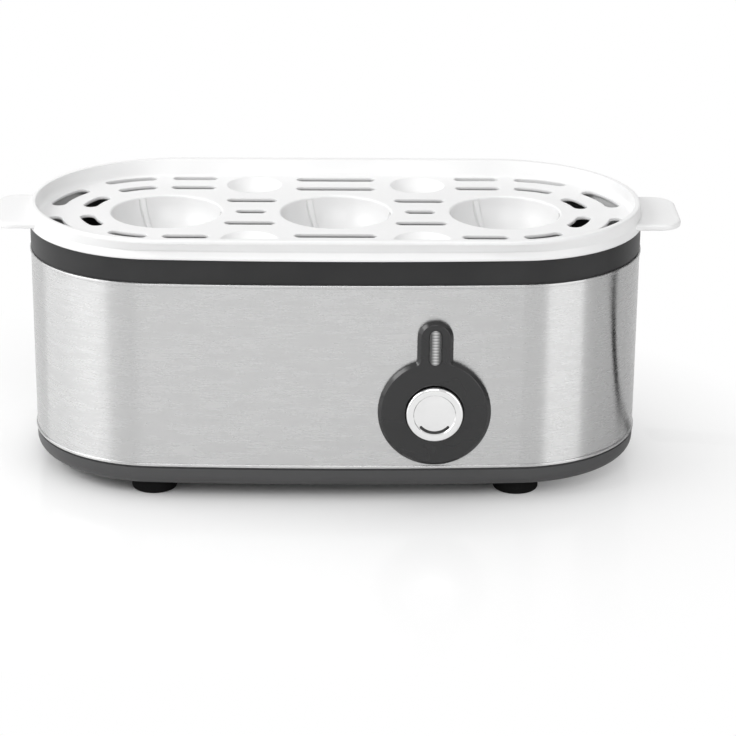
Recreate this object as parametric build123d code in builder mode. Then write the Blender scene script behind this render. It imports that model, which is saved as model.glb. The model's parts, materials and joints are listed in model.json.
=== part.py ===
"""Electric egg cooker: egg tray, collar, steel band, base tub, heater and controls.

Millimetres. The origin is on the floor under the middle of the body, +Z is up,
and the control side faces -Y.
"""

import os
from math import atan2, cos, radians, sin, tan

from build123d import *

# Plan of the body: a racetrack whose long sides bow out a little
body_length = 210.0
end_radius = 45.0
side_bow = 1.65

# Heights, each measured up from the one before
foot_height = 4.8
base_height = 7.2
band_height = 65.2
collar_height = 8.75
deck_rise = 2.35
rim_rise = 5.1

# Clearances
seat_gap = 0.05
fit_gap = 0.15
slide_gap = 0.5

# Base tub
tub_floor = 2.2
tub_wall = 2.2
tub_skirt = 5.0
base_round = 4.0

# Shadow grooves above and below the steel band
groove_depth = 0.4
groove_height = 0.7

# Steel band with a hem along each edge
band_wall = 0.5
hem_height = 1.1
hem_proud = 0.35
hem_round = 0.3

# Collar with its skirt in the band and its shelf for the pan
collar_wall = 2.6
collar_skirt = 7.0
skirt_wall = 2.2
shelf_drop = 5.4
shelf_wall = 2.0
shelf_reach = 10.3

# Housing screws, in posts of the tub and bosses of the collar
screw_angle = 50.0
screw_inset = 6.0
screw_radius = 1.75
screw_head_radius = 3.2
screw_head_height = 2.4
screw_head_seat = 11.0
screw_tip = 52.0
post_radius = 4.8
post_top = 40.0
boss_radius = 3.8

# Rubber feet
foot_radius = 7.75
foot_x = 62.0
foot_y = 32.9
foot_edge = 0.8
foot_stem_radius = 3.0
foot_barb_radius = 3.8
foot_barb_height = 1.2

# Water pan, its seal, studs and straps
pan_inset = 10.6
pan_wall = 0.8
pan_floor_z = 63.0
pan_corner = 5.0
flange_inset = 3.6
gasket_height = 1.0
gasket_margin = 0.6
stud_x = 48.0
stud_radius = 2.0
stud_tip_z = 50.5
strap_width = 14.0
strap_wall = 1.5
strap_pad = 12.0
strap_drop = 7.8
strap_toe = 4.0
nut_across_flats = 7.0
nut_height = 3.2

# Heater
plate_length = 150.0
plate_width = 56.0
plate_wall = 3.0
element_radius = 3.3
element_bury = 1.7
element_leg_y = 17.0
element_leg_start = -62.0
element_bend_x = 50.0
bead_length = 5.0
bead_radius = 3.0
pin_radius = 1.0
pin_length = 9.0

# Thermostat and thermal fuse under the plate
thermostat_x = 24.0
thermostat_radius = 8.0
thermostat_height = 8.0
ear_length = 28.0
ear_width = 9.0
ear_wall = 0.8
ear_screw_pitch = 22.0
small_screw_radius = 1.45
small_head_radius = 2.4
small_head_height = 1.8
blade_width = 6.3
blade_wall = 0.8
blade_length = 8.0
blade_pitch = 8.0
fuse_x = -10.0
fuse_radius = 2.1
fuse_length = 12.0
fuse_lead_radius = 0.45
fuse_lead_length = 6.0
clip_width = 6.0
clip_wall = 0.8
clip_foot = 9.0
clip_screw_y = 6.2

# Control: the ring and tab of the bezel, its button and its lamp window
control_x = 33.2
control_rise = 20.8
bezel_radius = 19.0
bezel_proud = 1.75
bezel_chamfer = 1.2
bezel_corner = 1.0
tab_width = 12.0
tab_rise = 32.4
barrel_radius = 12.2
barrel_bore = 9.9
barrel_depth = 8.4
guide_bore = 4.4
guide_wall = 1.5
boss_pitch = 30.8
bezel_boss_radius = 2.7
bezel_screw_radius = 1.3
window_rise = 23.2
lens_length = 12.2
lens_width = 4.0
lens_proud = 0.4
lens_front = 2.0
lens_flange = 1.2
lens_border = 1.0
sleeve_wall = 0.6
sleeve_depth = 6.4

# Button
cap_radius = 9.6
cap_proud = 2.0
cap_wall = 1.4
cap_skirt = 4.6
cap_edge = 0.9
dish_radius = 6.9
dish_depth = 0.8
dish_step = 0.25
mark_radius = 6.3
mark_width = 1.0
mark_angle = 46.0
mark_depth = 0.8
mark_sunk = 0.3
carrier_disc = 2.2
stem_radius = 4.0
hook_radius = 4.9
hook_length = 1.0
hook_gap = 0.1
spring_radius = 5.8
spring_wire = 0.6
spring_turns = 4.0

# Switch on its bracket
bracket_width = 44.0
bracket_height = 32.0
bracket_wall = 2.0
bracket_back = 0.9
bracket_hole = 6.2
bracket_leg = 20.0
bracket_arm = 5.0
bracket_arm_wall = 1.6
switch_width = 19.0
switch_height = 14.0
switch_depth = 17.0
plunger_radius = 1.6
plunger_reach = 4.2
plunger_bore_depth = 9.0
switch_blade_pitch = 10.0
switch_blade_height = 4.8
switch_blade_length = 7.0

# Lamp behind the window
lamp_radius = 2.2
lamp_length = 10.0
holder_depth = 6.0
holder_back = 1.2

# Terminal block and the bush of the cord's inlet
block_length = 30.0
block_width = 13.0
block_height = 15.0
block_y = 26.0
block_pad = 3.0
block_pad_radius = 3.2
block_screw_pitch = 9.0
pole_pitch = 9.0
pole_screw_radius = 2.0
pole_screw_height = 3.0
entry_height = 5.0
bush_z = 26.0
bush_bore = 3.4
bush_neck = 5.0
bush_flange = 7.5
bush_flange_wall = 1.4
bush_nose = 5.8
bush_proud = 3.0
bush_barb = 5.8
bush_barb_wall = 1.6
bush_length = 7.6

# Wires
wire_radius = 1.1
lead_radius = 0.6

# Egg tray: rim, lip, deck and the skirt that centres it in the collar
lip_length = 210.6
lip_end_radius = 46.5
lip_height = 0.7
lip_slope = 2.0
rim_foot_wall = 2.6
rim_length = 209.0
rim_end_radius = 49.3
rim_bow = 0.2
rim_edge = 1.2
rim_end_wall = 1.7
rim_side_wall = 2.4
rim_round = 0.5
deck_wall = 1.1
deck_corner = 1.6
tray_skirt_drop = 3.0
tray_skirt_wall = 1.4
cup_pitch = 58.3
cup_mouth = 18.9
cup_lip = 0.7
cup_throat = 12.8
cup_depth = 11.6
cup_bulge = 1.2
cup_wall = 1.5
rib_count = 3
rib_angle = 7.0
rib_rise = 1.1
dimple_x = 28.9
dimple_y = 32.0
dimple_radius = 9.7
dimple_depth = 4.2
dimple_rim = 1.1
slot_width = 4.0
end_slot_width = 5.1
outer_end_ring = 37.0
outer_side_ring = 39.2
inner_end_ring = 25.7
inner_side_ring = 28.4
outer_end_slot = (13.6, 38.2)
outer_side_slot = (59.6, 81.6)
inner_end_slot = (15.6, 34.2)
inner_side_slot = (59.5, 79.6)
outer_row_y = 38.5
inner_row_y = 27.3
corner_step = 1.1
middle_slot = 27.8
corner_slot = 15.6
corner_slot_x = 50.2
gap_slot_y = 13.1
gap_slot_long = 17.4
gap_slot_short = 10.5
handle_reach = 12.8
handle_half_width = 17.0
handle_corner = 8.0
handle_wall = 2.0
handle_rise = 0.8
handle_round = 0.8

# Places worked out from the sizes above
end_centre_x = body_length / 2 - end_radius
half_depth = end_radius + side_bow
bow_radius = (end_centre_x**2 - side_bow**2) / (2 * side_bow) + half_depth
z_base = foot_height
z_floor = z_base + tub_floor
z_band = z_base + base_height
z_band_top = z_band + band_height
z_seat = z_band_top + collar_height
z_deck = z_seat + deck_rise
z_rim = z_deck + rim_rise
z_shelf = z_seat - shelf_drop
z_flange = z_shelf + gasket_height
z_plate = pan_floor_z - plate_wall
z_element = z_plate - element_radius + element_bury
tub_inset = band_wall + fit_gap
tub_inside = tub_inset + tub_wall
control_z = z_band + control_rise
bezel_y = -half_depth - bezel_proud
cap_y = bezel_y - cap_proud
barrel_back = bezel_y + barrel_depth
window_z = control_z + window_rise
screw_ring = end_radius - screw_inset
screw_x = end_centre_x + screw_ring * cos(radians(screw_angle))
screw_y = screw_ring * sin(radians(screw_angle))
cup_xs = (-cup_pitch, 0.0, cup_pitch)


def side_sag(x):
    """How far the bowed side falls back from its crown at `x`."""
    return bow_radius - (bow_radius**2 - x**2) ** 0.5


def racetrack(z, length, radius, bow):
    """A racetrack at height `z` with round ends and sides that bow out by `bow`."""
    end_x = length / 2 - radius
    lean = atan2((end_x**2 - bow**2) / (2 * bow), end_x)
    x = end_x + radius * cos(lean)
    y = radius * sin(lean)
    tip = length / 2
    crown = radius + bow
    with BuildSketch(Plane.XY.offset(z)) as shape:
        with BuildLine():
            ThreePointArc((x, -y), (tip, 0), (x, y))
            ThreePointArc((x, y), (0, crown), (-x, y))
            ThreePointArc((-x, y), (-tip, 0), (-x, -y))
            ThreePointArc((-x, -y), (0, -crown), (x, -y))
        make_face()
    return shape.sketch


def outline(z, grow=0.0):
    """The body's outline at height `z`, grown evenly by `grow`."""
    return racetrack(z, body_length + 2 * grow, end_radius + grow, side_bow)


def lip_outline(z):
    """The tray's lip, which stands over the collar along both sides."""
    return racetrack(z, lip_length, lip_end_radius, side_bow)


def rim_outline(z):
    """The outer edge of the tray's rim, fuller along the sides than the body."""
    return racetrack(z, rim_length, rim_end_radius, rim_bow)


def wall(z, height, outer, inner):
    """Add an upright wall that follows the outline between two growths."""
    with BuildSketch(Plane.XY.offset(z)) as shape:
        add(outline(0, outer))
        add(outline(0, inner), mode=Mode.SUBTRACT)
    extrude(shape.sketch, amount=height)


def upright(points, radius, z, height, mode=Mode.ADD):
    """Round pillars or holes of one radius that rise from `z` at the given points."""
    with Locations(*[(x, y, z) for x, y in points]):
        Cylinder(radius, height, align=(Align.CENTER, Align.CENTER, Align.MIN), mode=mode)


def front_plane(y, z=None):
    """A plane on the control side, looking out along -Y from the button's axis."""
    height = control_z if z is None else z
    return Plane(origin=(control_x, y, height), x_dir=(1, 0, 0), z_dir=(0, -1, 0))


def push_back(shape, depth, mode=Mode.ADD):
    """Extrude a control-side sketch inwards, along +Y."""
    extrude(shape.sketch, amount=-depth, mode=mode)


def finish(piece, name):
    """Label a finished piece and write it to its own file."""
    piece.part.label = name
    export_step(piece.part, "parts/" + name + ".step")


def wire(points, radius):
    """A wire along straight runs joined by arcs as large as the runs allow."""
    bends = []
    for before, corner, after in zip(points, points[1:], points[2:]):
        come = Vector(*corner) - Vector(*before)
        leave = Vector(*after) - Vector(*corner)
        turn = radians(come.get_angle(leave))
        bends.append(0.45 * min(come.length, leave.length) / tan(turn / 2))
    with BuildLine() as path:
        FilletPolyline(*points, radius=bends)
    with BuildSketch(Plane(path.line @ 0, z_dir=path.line % 0)) as section:
        Circle(radius)
    sweep(section.sketch, path=path.line)


os.makedirs("parts", exist_ok=True)

# Corner points used by several pieces
screw_points = [(i * screw_x, j * screw_y) for i in (-1, 1) for j in (-1, 1)]
foot_points = [(i * foot_x, j * foot_y) for i in (-1, 1) for j in (-1, 1)]
stud_points = [(-stud_x, 0), (stud_x, 0)]
block_screw_points = [(-block_screw_pitch / 2, block_y), (block_screw_pitch / 2, block_y)]
ear_screw_points = [(thermostat_x + i * ear_screw_pitch / 2, 0) for i in (-1, 1)]
clip_screw_points = [(fuse_x, clip_screw_y)]
pole_points = [(i * pole_pitch, block_y) for i in (-1, 0, 1)]

# Base tub: the visible dark foot of the body and the floor of everything inside
with BuildPart() as base_tub:
    extrude(outline(z_base), amount=base_height - groove_height)
    fillet(base_tub.faces().sort_by(Axis.Z)[0].edges(), radius=base_round)
    extrude(outline(z_band - groove_height, -groove_depth), amount=groove_height)
    extrude(outline(z_band, -tub_inset), amount=tub_skirt)
    cavity_height = base_height + tub_skirt - tub_floor
    extrude(outline(z_floor, -tub_inside), amount=cavity_height, mode=Mode.SUBTRACT)
    upright(screw_points, post_radius, z_floor - tub_floor / 2, post_top - z_floor + tub_floor / 2)
    upright(block_screw_points, block_pad_radius, z_floor, block_pad)
    upright(screw_points, screw_head_radius + fit_gap, z_base, screw_head_seat - z_base, Mode.SUBTRACT)
    upright(screw_points, screw_radius + fit_gap, z_base, post_top - z_base, Mode.SUBTRACT)
    upright(foot_points, foot_stem_radius + seat_gap, z_base, tub_floor, Mode.SUBTRACT)
    upright(block_screw_points, small_screw_radius + seat_gap, z_floor, block_pad, Mode.SUBTRACT)
finish(base_tub, "base_tub")

# Rubber feet, each pulled through the floor by its barbed stem
with BuildPart() as rubber_feet:
    upright(foot_points, foot_radius, 0, foot_height)
    fillet(rubber_feet.edges().group_by(Axis.Z)[0], radius=foot_edge)
    upright(foot_points, foot_stem_radius, foot_height, tub_floor)
    upright(foot_points, foot_barb_radius, z_floor, foot_barb_height)
finish(rubber_feet, "rubber_feet")

# Steel band: thin brushed skin with a hem along each edge and openings for control and cord
with BuildPart() as steel_band:
    wall(z_band, band_height, 0, -band_wall)
    wall(z_band, hem_height, hem_proud, -band_wall)
    wall(z_band_top - hem_height, hem_height, hem_proud, -band_wall)
    proud_faces = steel_band.faces().filter_by(Plane.XY).sort_by(Axis.Z)
    for hem_face in (proud_faces[0], proud_faces[1], proud_faces[-2], proud_faces[-1]):
        fillet(hem_face.outer_wire().edges(), radius=hem_round)
    with BuildSketch(front_plane(bezel_y)) as control_opening:
        Circle(barrel_radius + slide_gap)
        with GridLocations(boss_pitch, 0, 2, 1):
            Circle(bezel_boss_radius + slide_gap)
        with Locations((0, window_rise)):
            SlotOverall(
                lens_length + 2 * (lens_border + sleeve_wall + fit_gap),
                lens_width + 2 * (lens_border + sleeve_wall + fit_gap),
                rotation=90,
            )
    push_back(control_opening, bezel_proud + half_depth / 2, Mode.SUBTRACT)
    with BuildSketch(Plane(origin=(0, 0, bush_z), x_dir=(1, 0, 0), z_dir=(0, 1, 0))) as cord_opening:
        Circle(bush_neck + seat_gap)
    extrude(cord_opening.sketch, amount=body_length, mode=Mode.SUBTRACT)
finish(steel_band, "steel_band")

# Upper collar: dark frame between band and tray, with a shelf that carries the pan
with BuildPart() as upper_collar:
    wall(z_band_top, groove_height, -groove_depth, -collar_wall)
    wall(z_band_top + groove_height, collar_height - groove_height, 0, -collar_wall)
    wall(z_band_top - collar_skirt, collar_skirt, -tub_inset, -tub_inset - skirt_wall)
    wall(z_shelf - shelf_wall, shelf_wall, -skirt_wall, -shelf_reach)
    upright(screw_points, boss_radius, post_top, z_shelf - shelf_wall / 2 - post_top)
    upright(screw_points, screw_radius + seat_gap, post_top, screw_tip + 1 - post_top, Mode.SUBTRACT)
finish(upper_collar, "upper_collar")

# Housing screws: from under the tub into the collar's bosses
with BuildPart() as housing_screws:
    upright(screw_points, screw_head_radius, screw_head_seat - screw_head_height, screw_head_height)
    upright(screw_points, screw_radius, screw_head_seat, screw_tip - screw_head_seat)
    for x, y in screw_points:
        with BuildSketch(Plane.XY.offset(screw_head_seat - screw_head_height)) as recess:
            with Locations((x, y)):
                Rectangle(screw_head_radius, screw_head_radius / 4)
                Rectangle(screw_head_radius / 4, screw_head_radius)
        extrude(recess.sketch, amount=screw_head_height / 2, mode=Mode.SUBTRACT)
finish(housing_screws, "housing_screws")

# Water pan: drawn dish whose flange lies on the collar's shelf
with BuildPart() as water_pan:
    pan_height = z_flange + pan_wall - pan_floor_z
    extrude(outline(pan_floor_z, -pan_inset), amount=pan_height)
    fillet(water_pan.faces().sort_by(Axis.Z)[0].edges(), radius=pan_corner)
    offset(amount=-pan_wall, openings=water_pan.faces().sort_by(Axis.Z)[-1])
    wall(z_flange, pan_wall, -flange_inset, -pan_inset - pan_wall / 2)
finish(water_pan, "water_pan")

# Seal ring between the shelf and the pan's flange
with BuildPart() as pan_gasket:
    wall(z_shelf, gasket_height, -flange_inset - gasket_margin, -shelf_reach + gasket_margin)
finish(pan_gasket, "pan_gasket")

# Studs welded under the pan
with BuildPart() as pan_studs:
    upright(stud_points, stud_radius, stud_tip_z, pan_floor_z - stud_tip_z)
finish(pan_studs, "pan_studs")

# Straps: joggled steel strips that pull the pan down against the shelf
arm_y = half_depth - side_sag(stud_x + strap_width / 2) - pan_inset + 2 * slide_gap
with BuildPart() as pan_straps:
    with BuildSketch(Plane.YZ) as strap_side:
        for side in (-1, 1):
            reach = arm_y + strap_wall
            with Locations((side * strap_pad / 2, z_plate - strap_wall / 2)):
                Rectangle(strap_pad, strap_wall)
            with Locations((side * (strap_pad - strap_wall / 2), z_plate - strap_drop / 2)):
                Rectangle(strap_wall, strap_drop)
            run_length = reach - strap_pad + strap_wall
            with Locations((side * (reach - run_length / 2), z_plate - strap_drop + strap_wall / 2)):
                Rectangle(run_length, strap_wall)
            arm_height = z_shelf - shelf_wall - z_plate + strap_drop
            with Locations((side * (arm_y + strap_wall / 2), z_plate - strap_drop + arm_height / 2)):
                Rectangle(strap_wall, arm_height)
            with Locations((side * (arm_y + strap_toe / 2), z_shelf - shelf_wall - strap_wall / 2)):
                Rectangle(strap_toe, strap_wall)
    for x, _ in stud_points:
        extrude(strap_side.sketch.moved(Location((x, 0, 0))), amount=strap_width / 2, both=True)
    upright(stud_points, stud_radius + fit_gap, z_plate - strap_drop, strap_drop, Mode.SUBTRACT)
finish(pan_straps, "pan_straps")

# Nuts: one under each strap, and a second on the left stud that holds the earth tag
nut_seat = z_plate - strap_wall
tag_wall = 0.8
nut_places = [(stud_x, nut_seat), (-stud_x, nut_seat), (-stud_x, nut_seat - nut_height - tag_wall)]
with BuildPart() as strap_nuts:
    for x, seat in nut_places:
        with BuildSketch(Plane.XY.offset(seat)) as nut:
            with Locations((x, 0)):
                RegularPolygon(nut_across_flats / 2, 6, major_radius=False)
                Circle(stud_radius + seat_gap, mode=Mode.SUBTRACT)
        extrude(nut.sketch, amount=-nut_height)
finish(strap_nuts, "strap_nuts")

# Earth tag: ring on the left stud with a barrel for its wire
tag_z = nut_seat - nut_height - tag_wall
tag_tail = 11.0
with BuildPart() as earth_tag:
    with BuildSketch(Plane.XY.offset(tag_z)) as tag:
        with Locations((-stud_x, 0)):
            Circle(nut_across_flats / 2)
        with Locations((-stud_x - tag_tail / 2, 0)):
            Rectangle(tag_tail, 2 * wire_radius)
        with Locations((-stud_x, 0)):
            Circle(stud_radius + seat_gap, mode=Mode.SUBTRACT)
    extrude(tag.sketch, amount=tag_wall)
finish(earth_tag, "earth_tag")


def element_run(radius, mode=Mode.ADD):
    """Sweep the heating element's U: two legs joined by a half circle."""
    with BuildLine() as run:
        Line((element_leg_start, -element_leg_y, z_element), (element_bend_x, -element_leg_y, z_element))
        ThreePointArc(
            (element_bend_x, -element_leg_y, z_element),
            (element_bend_x + element_leg_y, 0, z_element),
            (element_bend_x, element_leg_y, z_element),
        )
        Line((element_bend_x, element_leg_y, z_element), (element_leg_start, element_leg_y, z_element))
    with BuildSketch(Plane(run.line @ 0, z_dir=run.line % 0)) as section:
        Circle(radius)
    sweep(section.sketch, path=run.line, mode=mode)


def end_rods(radius, start, length, mode=Mode.ADD):
    """Round rods along -X, in line with both legs of the element."""
    for side in (-1, 1):
        leg_end = (start, side * element_leg_y, z_element)
        with BuildSketch(Plane(origin=leg_end, x_dir=(0, 1, 0), z_dir=(-1, 0, 0))) as section:
            Circle(radius)
        extrude(section.sketch, amount=length, mode=mode)


# Spreader plate pressed to the pan's underside, grooved for the element
with BuildPart() as heater_plate:
    with BuildSketch(Plane.XY.offset(z_plate)) as plate:
        SlotOverall(plate_length, plate_width)
    extrude(plate.sketch, amount=plate_wall)
    upright(stud_points, stud_radius + fit_gap, z_plate, plate_wall, Mode.SUBTRACT)
    upright(ear_screw_points, small_screw_radius + seat_gap, z_plate, plate_wall, Mode.SUBTRACT)
    upright(clip_screw_points, small_screw_radius + seat_gap, z_plate, plate_wall, Mode.SUBTRACT)
    element_run(element_radius + seat_gap, Mode.SUBTRACT)
    end_rods(element_radius + seat_gap, element_leg_start, plate_length / 4, Mode.SUBTRACT)
finish(heater_plate, "heater_plate")

# Sheathed heating element
with BuildPart() as heating_element:
    element_run(element_radius)
finish(heating_element, "heating_element")


# Ceramic beads that close the element's ends
with BuildPart() as element_insulators:
    end_rods(bead_radius, element_leg_start, bead_length)
finish(element_insulators, "element_insulators")

# Terminal pins of the element
pin_start = element_leg_start - bead_length
with BuildPart() as element_pins:
    end_rods(pin_radius, pin_start, pin_length)
finish(element_pins, "element_pins")

# Disc thermostat with its mounting ears
with BuildPart() as thermostat:
    upright([(thermostat_x, 0)], thermostat_radius, z_plate - thermostat_height, thermostat_height)
    with BuildSketch(Plane.XY.offset(z_plate)) as ears:
        with Locations((thermostat_x, 0)):
            SlotOverall(ear_length, ear_width)
    extrude(ears.sketch, amount=-ear_wall)
    upright(ear_screw_points, small_screw_radius + seat_gap, z_plate - ear_wall, ear_wall, Mode.SUBTRACT)
finish(thermostat, "thermostat")

# Blades under the thermostat
blade_top = z_plate - thermostat_height
blade_xs = (thermostat_x - blade_pitch / 2, thermostat_x + blade_pitch / 2)
with BuildPart() as thermostat_blades:
    for x in blade_xs:
        with Locations((x, 0, blade_top - blade_length / 2)):
            Box(blade_wall, blade_width, blade_length)
finish(thermostat_blades, "thermostat_blades")


def small_screws(points, seat):
    """Pan-head screws that point up, with their heads under `seat`."""
    upright(points, small_head_radius, seat - small_head_height, small_head_height)
    upright(points, small_screw_radius, seat, z_plate + plate_wall / 2 - seat)


# Screws of the thermostat
with BuildPart() as thermostat_screws:
    small_screws(ear_screw_points, z_plate - ear_wall)
finish(thermostat_screws, "thermostat_screws")

# Thermal fuse with its two leads, lying along X under the plate
fuse_z = z_plate - fuse_radius - seat_gap
fuse_plane = Plane(origin=(fuse_x, 0, fuse_z), x_dir=(0, 1, 0), z_dir=(1, 0, 0))
with BuildPart() as thermal_fuse:
    with BuildSketch(fuse_plane) as can:
        Circle(fuse_radius)
    extrude(can.sketch, amount=fuse_length / 2, both=True)
    with BuildSketch(fuse_plane) as leads:
        Circle(fuse_lead_radius)
    extrude(leads.sketch, amount=fuse_length / 2 + fuse_lead_length, both=True)
finish(thermal_fuse, "thermal_fuse")

# Clip over the fuse: a saddle with one foot
saddle_radius = fuse_radius + seat_gap
with BuildPart() as fuse_clip:
    with BuildSketch(fuse_plane) as saddle:
        Circle(saddle_radius + clip_wall)
        with Locations((0, saddle_radius / 2)):
            Rectangle(2 * (saddle_radius + clip_wall), saddle_radius)
        with Locations((clip_foot / 2, saddle_radius - clip_wall / 2)):
            Rectangle(clip_foot, clip_wall)
        Circle(saddle_radius, mode=Mode.SUBTRACT)
        with Locations((0, saddle_radius)):
            Rectangle(2 * saddle_radius, 2 * saddle_radius, mode=Mode.SUBTRACT)
    extrude(saddle.sketch, amount=clip_width / 2, both=True)
    upright(clip_screw_points, small_screw_radius + seat_gap, z_plate - clip_wall, clip_wall, Mode.SUBTRACT)
finish(fuse_clip, "fuse_clip")

# Screw of the fuse clip
with BuildPart() as fuse_screw:
    small_screws(clip_screw_points, z_plate - clip_wall)
finish(fuse_screw, "fuse_screw")

# Bezel: ring and tab on the steel, with a barrel for the button and a sleeve for the window
tab_arc = tab_rise - tab_width / 2
boss_back = barrel_back + bracket_back + hook_length + hook_gap
with BuildPart() as control_bezel:
    with BuildSketch(front_plane(bezel_y)) as keyhole:
        Circle(bezel_radius)
        with Locations((0, tab_arc / 2)):
            Rectangle(tab_width, tab_arc)
        with Locations((0, tab_arc)):
            Circle(tab_width / 2)
        fillet(keyhole.vertices().group_by(Axis.Y)[-2], radius=bezel_corner)
    push_back(keyhole, bezel_proud + side_sag(body_length / 4) + 2)
    chamfer(control_bezel.faces().sort_by(Axis.Y)[0].edges(), length=bezel_chamfer)
    extrude(outline(z_band, seat_gap), amount=band_height, mode=Mode.SUBTRACT)
    with BuildSketch(front_plane(bezel_y + bezel_chamfer)) as barrel:
        Circle(barrel_radius)
    push_back(barrel, barrel_depth - bezel_chamfer)
    with BuildSketch(front_plane(bezel_y + bezel_chamfer)) as sleeve:
        with Locations((0, window_rise)):
            SlotOverall(
                lens_length + 2 * (lens_border + sleeve_wall),
                lens_width + 2 * (lens_border + sleeve_wall),
                rotation=90,
            )
    push_back(sleeve, sleeve_depth - bezel_chamfer)
    with BuildSketch(front_plane(bezel_y + bezel_chamfer)) as bosses:
        with GridLocations(boss_pitch, 0, 2, 1):
            Circle(bezel_boss_radius)
    push_back(bosses, boss_back - bezel_y - bezel_chamfer)
    with BuildSketch(front_plane(bezel_y)) as button_bore:
        Circle(barrel_bore)
    push_back(button_bore, barrel_depth - guide_wall, Mode.SUBTRACT)
    with BuildSketch(front_plane(bezel_y)) as guide:
        Circle(guide_bore)
    push_back(guide, barrel_depth, Mode.SUBTRACT)
    with BuildSketch(front_plane(bezel_y)) as window:
        with Locations((0, window_rise)):
            SlotOverall(lens_length + 2 * seat_gap, lens_width + 2 * seat_gap, rotation=90)
    push_back(window, lens_front, Mode.SUBTRACT)
    with BuildSketch(front_plane(bezel_y + lens_front)) as pocket:
        with Locations((0, window_rise)):
            SlotOverall(lens_length + 2 * lens_border, lens_width + 2 * lens_border, rotation=90)
    push_back(pocket, sleeve_depth, Mode.SUBTRACT)
    with BuildSketch(front_plane(bezel_y + 2 * bezel_chamfer)) as pilots:
        with GridLocations(boss_pitch, 0, 2, 1):
            Circle(bezel_screw_radius + seat_gap)
    push_back(pilots, boss_back - bezel_y - 2 * bezel_chamfer, Mode.SUBTRACT)
finish(control_bezel, "control_bezel")

# Clear window of the lamp, held by its flange
with BuildPart() as lamp_lens:
    with BuildSketch(front_plane(bezel_y - lens_proud)) as pill:
        with Locations((0, window_rise)):
            SlotOverall(lens_length, lens_width, rotation=90)
    push_back(pill, lens_proud + lens_front)
    fillet(lamp_lens.faces().sort_by(Axis.Y)[0].edges(), radius=lens_proud)
    with BuildSketch(front_plane(bezel_y + lens_front)) as flange:
        with Locations((0, window_rise)):
            SlotOverall(
                lens_length + 2 * (lens_border - seat_gap),
                lens_width + 2 * (lens_border - seat_gap),
                rotation=90,
            )
    push_back(flange, lens_flange)
finish(lamp_lens, "lamp_lens")

# Holder that plugs into the sleeve and carries the lamp
holder_y = bezel_y + lens_front + lens_flange + fit_gap
holder_cup = holder_depth - holder_back
with BuildPart() as lamp_holder:
    with BuildSketch(front_plane(holder_y)) as plug:
        with Locations((0, window_rise)):
            SlotOverall(
                lens_length + 2 * (lens_border - seat_gap),
                lens_width + 2 * (lens_border - seat_gap),
                rotation=90,
            )
    push_back(plug, holder_depth)
    with BuildSketch(front_plane(holder_y)) as cup:
        with Locations((0, window_rise)):
            Rectangle(2 * (lamp_radius + seat_gap), lamp_length + 2 * seat_gap)
    push_back(cup, holder_cup, Mode.SUBTRACT)
finish(lamp_holder, "lamp_holder")

# Neon lamp, standing in the holder
lamp_y = holder_y + holder_cup - lamp_radius - seat_gap
with BuildPart() as power_lamp:
    with Locations((control_x, lamp_y, window_z)):
        Cylinder(lamp_radius, lamp_length)
    fillet(power_lamp.edges().filter_by(GeomType.CIRCLE), radius=lamp_radius / 2)
finish(power_lamp, "power_lamp")

# Section plane through the button's axis: local x is the radius, local y runs inwards
button_section = Plane(origin=(control_x, 0, control_z), x_dir=(1, 0, 0), z_dir=(0, 0, 1))
button_axis = Axis((control_x, 0, control_z), (0, 1, 0))


def mark_arc(gap=0.0):
    """Draw the arc low in the button's face, `gap` narrower on each side."""
    run = Edge.make_circle(mark_radius, Plane.XY, 270 - mark_angle, 270 + mark_angle)
    SlotArc(run, mark_width - 2 * gap)


# Chrome cap of the button, dished in its face
cap_inside = cap_y + cap_wall
edge_saving = cap_edge * (1 - cos(radians(45)))
with BuildPart() as button_cap:
    with BuildSketch(button_section) as cap_half:
        with BuildLine():
            ThreePointArc(
                (0, cap_y + dish_depth),
                (dish_radius / 2, cap_y + dish_step + 0.75 * (dish_depth - dish_step)),
                (dish_radius, cap_y + dish_step),
            )
            Line((dish_radius, cap_y + dish_step), (dish_radius + dish_step, cap_y))
            Line((dish_radius + dish_step, cap_y), (cap_radius - cap_edge, cap_y))
            ThreePointArc(
                (cap_radius - cap_edge, cap_y),
                (cap_radius - edge_saving, cap_y + edge_saving),
                (cap_radius, cap_y + cap_edge),
            )
            Polyline(
                (cap_radius, cap_y + cap_edge),
                (cap_radius, cap_y + cap_skirt),
                (cap_radius - cap_wall, cap_y + cap_skirt),
                (cap_radius - cap_wall, cap_inside),
                (0, cap_inside),
                (0, cap_y + dish_depth),
            )
        make_face()
    revolve(cap_half.sketch, axis=button_axis)
    with BuildSketch(front_plane(cap_y)) as mark_pocket:
        mark_arc()
    push_back(mark_pocket, mark_depth, Mode.SUBTRACT)
finish(button_cap, "button_cap")

# Dark arc let into the cap's face
with BuildPart() as button_mark:
    with BuildSketch(front_plane(cap_y + mark_sunk)) as inlay:
        mark_arc(seat_gap)
    push_back(inlay, mark_depth - mark_sunk)
finish(button_mark, "button_mark")

# Carrier in the cap: disc, guide stem and the hooks that stop it in the barrel
disc_back = cap_inside + carrier_disc
hook_y = barrel_back + hook_gap
with BuildPart() as button_carrier:
    with BuildSketch(button_section) as carrier_half:
        with BuildLine():
            Polyline(
                (0, cap_inside),
                (cap_radius - cap_wall - seat_gap, cap_inside),
                (cap_radius - cap_wall - seat_gap, disc_back),
                (stem_radius, disc_back),
                (stem_radius, hook_y),
                (hook_radius, hook_y),
                (stem_radius, hook_y + hook_length),
                (0, hook_y + hook_length),
                (0, cap_inside),
            )
        make_face()
    revolve(carrier_half.sketch, axis=button_axis)
finish(button_carrier, "button_carrier")

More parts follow.
